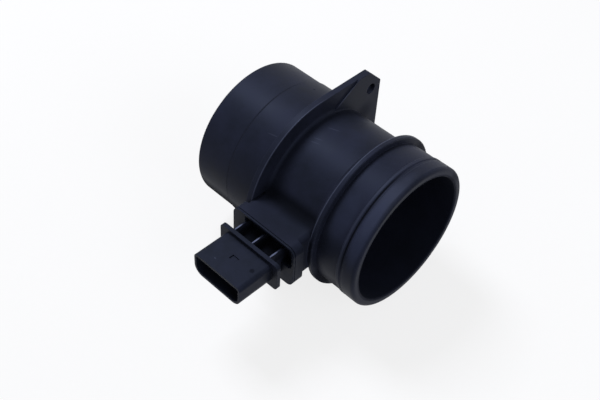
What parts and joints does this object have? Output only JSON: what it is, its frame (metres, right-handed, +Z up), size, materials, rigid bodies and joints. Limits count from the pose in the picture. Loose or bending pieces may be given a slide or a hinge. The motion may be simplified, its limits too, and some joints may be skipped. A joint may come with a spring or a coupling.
{
  "type": "mass airflow sensor",
  "caption": "Round moulded air duct with a screw flange, a ring bead and a hose spigot, and a plug-in hot-film airflow sensor with a flat multi-pin connector on its side.",
  "frame": {"origin": "centre of the inlet end face, on the duct's axis", "axes": "+X along the air flow from inlet to outlet, the plug points along -Y, +Z up with the flat top of the connector"},
  "size_m": [0.1166, 0.1362, 0.1016],
  "materials": {
    "housing_plastic": "glass-filled polyester, moulded, fine matt grain",
    "sensor_plastic": "glass-filled polyester, moulded, slightly smoother than the housing",
    "cover_plastic": "moulded flat cover, satin",
    "comb_plastic": "moulded honeycomb, satin",
    "screen_wire": "drawn stainless wire",
    "seal_rubber": "moulded silicone rubber",
    "carrier_metal": "stamped sheet",
    "board_ceramic": "fired alumina",
    "chip_resin": "moulded epoxy",
    "capacitor_ceramic": "fired body",
    "tongue_plastic": "moulded carrier",
    "film_glass": "etched film on silicon",
    "lead_wire": "tinned wire",
    "bead_resin": "dipped bead",
    "terminal_metal": "tinned bronze strip"
  },
  "bodies": {
    "root": {"tube_housing": "housing_plastic", "flow_straightener": "comb_plastic", "wire_screen": "screen_wire", "sensor_body": "sensor_plastic", "electronics_cover": "cover_plastic", "channel_cover": "cover_plastic", "seal_ring": "seal_rubber", "carrier_plate": "carrier_metal", "circuit_board": "board_ceramic", "signal_chip": "chip_resin", "board_capacitors": "capacitor_ceramic", "sensing_tongue": "tongue_plastic", "hot_film_chip": "film_glass", "temperature_leads": "lead_wire", "temperature_bead": "bead_resin", "terminal_1": "terminal_metal", "terminal_2": "terminal_metal", "terminal_3": "terminal_metal", "terminal_4": "terminal_metal", "terminal_5": "terminal_metal"}
  },
  "joints": []
}
